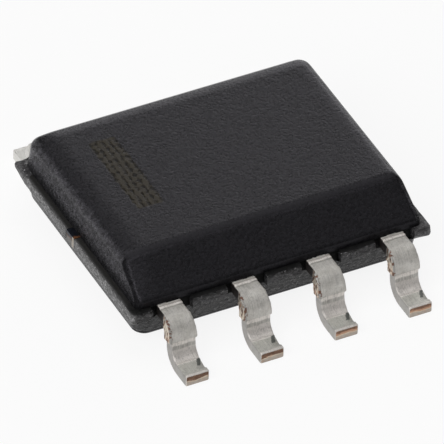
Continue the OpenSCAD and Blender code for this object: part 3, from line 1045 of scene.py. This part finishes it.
def tin_tone(m, across, along, clouds, streaks):
    """Tone of the tin: clouds, bands of painted highlight and shade across it, drawing lines and specks.
    """
    level = m.plus(along, m.sway(m.noise(8, 3), 0.035))
    colour = m.mix(m.ramp(clouds, 0.35, 0.7), TIN_LIGHT, TIN_DULL)
    # Painted highlights on the ridges and ends, painted shade in the grooves, a painted-light leg and a
    # painted-shade foot.
    for middle, half, tone, share in PAINTED_LIGHT_BANDS:
        colour = m.mix(m.times(m.window(level, middle, half, BAND_SOFT), share), colour, tone)
    colour = m.mix(m.ramp(streaks, 0.48, 0.72, 0.0, 0.55), colour, TIN_DARK)
    specks = m.noise(30, 4, 0.7)
    colour = m.mix(m.ramp(specks, 0.50, 0.70, 0.0, 0.45), colour, TIN_DARK)
    colour = m.mix(m.ramp(specks, 0.42, 0.28, 0.0, 0.35), colour, TIN_HIGHLIGHT_AND_SPECK)
    # Painted light: the feet of the rear row are lighter.
    colour = m.mix(m.ramp(m.axes()[1], 2.3, 2.5, 0.0, 0.65), colour, TIN_REAR_PAINTED_LIGHT)
    combs = m.ramp(tin_streaks(m, along, 52, 1.5, 2, 0.5), 0.42, 0.58, 0.0, 0.55)
    colour = m.mix(m.times(m.window(level, *COMB_BAND), combs), colour, TIN_DARK)
    # Painted shade on the flank at one side of each lead.
    return m.mix(m.ramp(across, LEAD_HALF - 0.016, LEAD_HALF - 0.008, 0.0, 0.75), colour, TIN_FLANK_PAINTED_SHADE)


def tin_plating():
    """Dull tin plate: drawing lines along the lead, painted highlight and shade across it, feet at the
    rear painted lighter as painted light.
    """
    m = Finish("tin_plating", Metallic=0.45)
    across, along = m.strip()
    streaks = tin_streaks(m, along, 75, 3.5, 4, 0.65)
    clouds = m.noise(7, 4, 0.6)
    colour = tin_tone(m, across, along, clouds, streaks)
    # Painted dark reflection beside the heel.
    colour = m.mix(heel_painted_reflection(m, across, along), colour, TIN_HEEL_DARK_REFLECTION)
    colour = m.mix(worn_edge(m, across, along), colour, COPPER_WORN)
    # Darker on the flank in the flash's gap.
    m.set("Base Color", m.mix(darker_in_gap(m, across, along), colour, GAP_FLANK_DARK))
    m.set("Roughness", m.ramp(m.plus(clouds, streaks), 0.7, 1.3, 0.40, 0.56))
    m.set("Normal", m.bump(streaks, 0.006, m.bump(m.noise(55, 3), 0.003)))
    return m.data


def heel_painted_reflection(m, across, along):
    """Painted dark reflection: a wedge beside the heel, over the tool's bruise, ragged at its edges."""
    ragged = m.sway(m.noise(16, 3), 0.05)
    across = m.times(across, m.math("SIGN", m.minus(0.0, m.axes()[1])))
    inner = m.minus(m.plus(across, LEAD_HALF), m.times(m.minus(along, FACET_START), 0.42))
    wedge = m.window(m.plus(inner, ragged), 0.03, 0.03, 0.010)
    return m.times(wedge, m.window(m.plus(along, ragged), FACET_START + 0.09, 0.08, 0.015))


def worn_edge(m, across, along):
    """Copper that shows in spots along the lead's edge beside the cut dam bar."""
    edge = m.ramp(across, LEAD_HALF - 0.035, LEAD_HALF - 0.010)
    beside = m.window(along, (CUT_START + STUB_END) / 2, (STUB_END - CUT_START) / 2, 0.02)
    return m.times(edge, beside, m.ramp(m.noise(15, 3), 0.5, 0.56))


def darker_in_gap(m, across, along):
    """Darker on the lead's flank in the gap of the flash, up to a ragged line along it."""
    flank = m.ramp(across, LEAD_HALF - 0.018, LEAD_HALF - 0.010)
    reach = m.plus(along, m.times(m.noise(20, 3), 0.08))
    return m.times(flank, m.ramp(reach, CUT_START + 0.02, CUT_START + 0.05, 1.0, 0.0))


def copper_cut():
    """Bare copper where the dam bar was punched away, smeared with tin."""
    m = Finish("copper_cut", Metallic=1.0)
    smear = m.noise(9, 4, 0.6, m.stretched(1, 1.5, 0.7))
    dirt = m.noise(15, 3, 0.6, m.stretched(1, 1.4, 0.6))
    colour = m.mix(m.ramp(smear, 0.36, 0.54), COPPER_CUT, TIN_ON_COPPER)
    m.set("Base Color", m.mix(m.ramp(dirt, 0.50, 0.58), colour, COPPER_DARK))
    m.set("Roughness", m.ramp(dirt, 0.3, 0.7, 0.35, 0.55))
    m.set("Normal", m.bump(m.noise(40, 3, 0.6, m.stretched(0.4, 1, 1)), 0.004))
    return m.data


def toe_cut():
    """Sheared end of a lead: a brown copper band above, fresher towards +X, and a tin smear below."""
    m = Finish("toe_cut", Metallic=1.0)
    x, _, z = m.axes()
    level = m.plus(z, m.sway(m.noise(6, 3), 0.10))
    fresh = m.times(m.ramp(x, -0.2, 0.4, 0.0, 0.9), m.ramp(level, 0.115, 0.150, 1.0, 0.1))
    copper = m.mix(fresh, COPPER_DARK, COPPER_CUT)
    colour = m.mix(m.ramp(level, 0.09, 0.105), TIN_ON_TOE, copper)
    colour = m.mix(m.times(m.window(level, 0.086, 0.008, 0.006), 0.7), colour, TOE_LINE)
    m.set("Base Color", m.mix(m.ramp(m.noise(14, 3), 0.5, 0.7, 0.0, 0.5), colour, COPPER_CUT))
    m.set("Roughness", m.ramp(m.noise(20, 3), 0.3, 0.7, 0.38, 0.6))
    m.set("Normal", m.bump(m.noise(30, 3, 0.6, m.stretched(2.5, 1, 0.5)), 0.005))
    return m.data


def tie_bar_copper():
    """Copper of the paddle: its cut ends are stained dark on top, bare at the front, grey at the shear."""
    m = Finish("tie_bar_copper", Metallic=1.0)
    x, y, z = m.axes()
    uneven = m.sway(m.noise(12, 3), 0.10)
    colour = m.mix(m.ramp(m.noise(18, 3), 0.35, 0.65), COPPER_BARE, COPPER_ORANGE)
    from_front = m.plus(m.minus(y, TIE_BAR_Y - TIE_BAR_WIDTH / 2), uneven)
    colour = m.mix(m.ramp(from_front, 0.02, 0.06), colour, COPPER_STAIN)
    low = m.plus(m.minus(LEAD_PLANE, z), uneven)
    sheared = m.mix(m.ramp(low, 0.085, 0.10), COPPER_DARK, COPPER_GREY)
    sheared = m.mix(m.ramp(low, 0.06, 0.075), COPPER_STAIN, sheared)
    sheared = m.mix(m.ramp(from_front, 0.04, 0.08), COPPER_TAN, sheared)
    end = m.ramp(m.size(x), HALF_LENGTH + 0.100, HALF_LENGTH + 0.106)
    m.set("Base Color", m.mix(end, colour, sheared))
    m.set("Roughness", m.ramp(m.noise(25, 3), 0.3, 0.7, 0.35, 0.55))
    m.set("Normal", m.bump(m.noise(35, 3), 0.004))
    return m.data


# Pieces that the resin hides: light tone, dark tone, metallic, roughness
ADHESIVE = (grey(0.45), grey(0.32), 0.3, 0.45)
SILICON = ((0.16, 0.17, 0.21, 1), (0.10, 0.11, 0.14, 1), 0.4, 0.2)
GOLD = ((0.85, 0.63, 0.28, 1), (0.75, 0.52, 0.20, 1), 1.0, 0.2)


def inner_finish(name, light, dark, metallic, roughness):
    """Finish of a piece that the resin hides: two tones under fine grain."""
    m = Finish(name, Metallic=metallic)
    grain = m.noise(25, 4)
    m.set("Base Color", m.mix(m.ramp(grain, 0.3, 0.7), light, dark))
    m.set("Roughness", m.ramp(grain, 0.3, 0.7, roughness, roughness + 0.15))
    m.set("Normal", m.bump(m.noise(60, 2), 0.001))
    return m.data


# Stage: pale floor, soft lamps, camera


def floor_white():
    """Pale floor: a white glow where it is seen, with soft shadows on it."""
    m = Finish("floor_white")
    m.tree.nodes.clear()
    path = m.add("ShaderNodeLightPath").outputs
    seen = m.math("MAXIMUM", path["Is Camera Ray"], path["Is Glossy Ray"])
    seen = m.math("MAXIMUM", seen, path["Is Transmission Ray"])
    share = m.times(seen, FLOOR_GLOW_SHARE)
    matt = m.add("ShaderNodeBsdfDiffuse", {"Color": grey(FLOOR_TONE)}).outputs[0]
    glow = m.add("ShaderNodeEmission", {"Strength": FLOOR_GLOW}).outputs[0]
    mixed = m.add("ShaderNodeMixShader", {"Fac": share, 1: matt, 2: glow}).outputs[0]
    m.add("ShaderNodeOutputMaterial", {"Surface": mixed})
    return m.data


def make_floor():
    """The floor, a square sheet at the board's level."""
    corners = [(x * FLOOR_HALF_M, y * FLOOR_HALF_M, 0) for x, y in [(-1, -1), (1, -1), (1, 1), (-1, 1)]]
    mesh = bpy.data.meshes.new("floor")
    mesh.from_pydata(corners, [], [(0, 1, 2, 3)])
    mesh.materials.append(floor_white())
    floor = bpy.data.objects.new("floor", mesh)
    bpy.context.scene.collection.objects.link(floor)


def make_lamp(name, place, size, radiance):
    """A square soft lamp of a given radiance that faces the object."""
    lamp = bpy.data.lights.new(name, "AREA")
    lamp.size = size
    lamp.energy = radiance * math.pi * size * size
    holder = bpy.data.objects.new(name, lamp)
    holder.location = place
    holder.rotation_euler = (-Vector(place)).to_track_quat("-Z", "Y").to_euler()
    bpy.context.scene.collection.objects.link(holder)


def make_world():
    """Even white light from all round."""
    world = bpy.data.worlds.new("studio")
    world.use_nodes = True
    background = world.node_tree.nodes["Background"]
    background.inputs["Color"].default_value = grey(1.0)
    background.inputs["Strength"].default_value = WORLD_LEVEL
    bpy.context.scene.world = world


def camera_axes():
    """The camera's directions to the right, up and back, rolled as in the photograph."""
    a, e, r = CAMERA_AZIMUTH, CAMERA_ELEVATION, CAMERA_ROLL
    right = Vector((math.cos(a), math.sin(a), 0))
    back = Vector((math.sin(a) * math.cos(e), -math.cos(a) * math.cos(e), math.sin(e)))
    up = back.cross(right)
    return right * math.cos(r) + up * math.sin(r), up * math.cos(r) - right * math.sin(r), back


def make_camera():
    """Camera at the photograph's angle, its axis through the middle of the photograph's frame."""
    right, up, back = camera_axes()
    middle = (PHOTO_SIZE - 1) / 2
    off_right = (TARGET_PIXEL[0] - middle) / PIXELS_PER_MM
    off_up = (middle - TARGET_PIXEL[1]) / PIXELS_PER_MM
    axis_point = CAMERA_TARGET - right * off_right - up * off_up
    data = bpy.data.cameras.new("camera")
    data.sensor_width = SENSOR
    data.lens = PIXELS_PER_MM * CAMERA_DISTANCE * SENSOR / PHOTO_SIZE
    data.clip_start = CLIP_START_M
    data.clip_end = CLIP_END_M
    camera = bpy.data.objects.new("camera", data)
    turn = Matrix((right, up, back)).transposed().to_4x4()
    camera.matrix_world = Matrix.Translation((axis_point + back * CAMERA_DISTANCE) * MM) @ turn
    bpy.context.scene.collection.objects.link(camera)
    bpy.context.scene.camera = camera


# The part

body = make_body([epoxy_matte(), epoxy_ledge(), epoxy_fracture()])
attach(body, "root")
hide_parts("molded_body")

lead_materials = [tin_plating(), copper_cut(), toe_cut()]
for n in range(1, LEADS + 1):
    lead = make_lead(n, lead_materials)
    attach(lead, "root")
    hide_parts(f"lead_{n}")

inner = {
    "die_paddle": ("bare_copper", tie_bar_copper()),
    "die_attach": ("die_adhesive", inner_finish("die_adhesive", *ADHESIVE)),
    "silicon_die": ("silicon", inner_finish("silicon", *SILICON)),
}
gold = inner_finish("bond_gold", *GOLD)
for n in range(1, LEADS + 1):
    inner[f"bond_wire_{n}"] = ("bond_gold", gold)
for node, (slot, material) in inner.items():
    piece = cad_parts[node]
    piece.data.materials.clear()
    piece.data.materials.append(material)

make_floor()
make_world()
for lamp in LAMPS:
    make_lamp(*lamp)
make_camera()

scene = bpy.context.scene
scene.view_settings.view_transform = "Standard"
